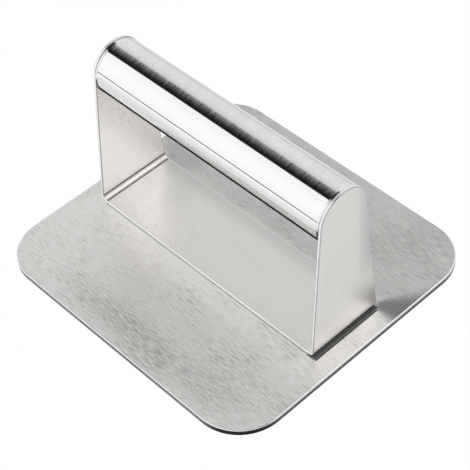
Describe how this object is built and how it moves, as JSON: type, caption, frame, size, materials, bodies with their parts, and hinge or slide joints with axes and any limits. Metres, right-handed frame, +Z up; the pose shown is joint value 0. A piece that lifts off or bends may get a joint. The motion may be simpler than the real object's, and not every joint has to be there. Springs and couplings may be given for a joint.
{
  "type": "bacon press",
  "caption": "Flat rounded-corner steel pressing plate with a bent sheet bracket and a round tube handle across its uprights, for holding food flat on a griddle.",
  "frame": {"origin": "centre of the flat pressing face, on the underside of the plate", "axes": "+X along the handle, +Y across the handle, +Z up from the pressing face to the top of the handle"},
  "size_m": [0.15, 0.139, 0.0832],
  "materials": {
    "plate_steel": "stainless sheet with a straight brushed grain along the handle, edges broken bright",
    "bracket_steel": "fine satin stainless sheet, cut edges polished bright",
    "tube_steel": "polished stainless tube with faint turning marks round it",
    "seam_weld_steel": "weld bead dressed smooth and nearly flush",
    "spot_weld_steel": "fused weld metal, out of sight"
  },
  "bodies": {
    "root": {"pressing_plate": "plate_steel", "handle_bracket": "bracket_steel", "handle_tube": "tube_steel", "tube_seam_weld_left": "seam_weld_steel", "tube_seam_weld_right": "seam_weld_steel", "spot_weld_left_front": "spot_weld_steel", "spot_weld_left_rear": "spot_weld_steel", "spot_weld_right_front": "spot_weld_steel", "spot_weld_right_rear": "spot_weld_steel"}
  },
  "joints": []
}
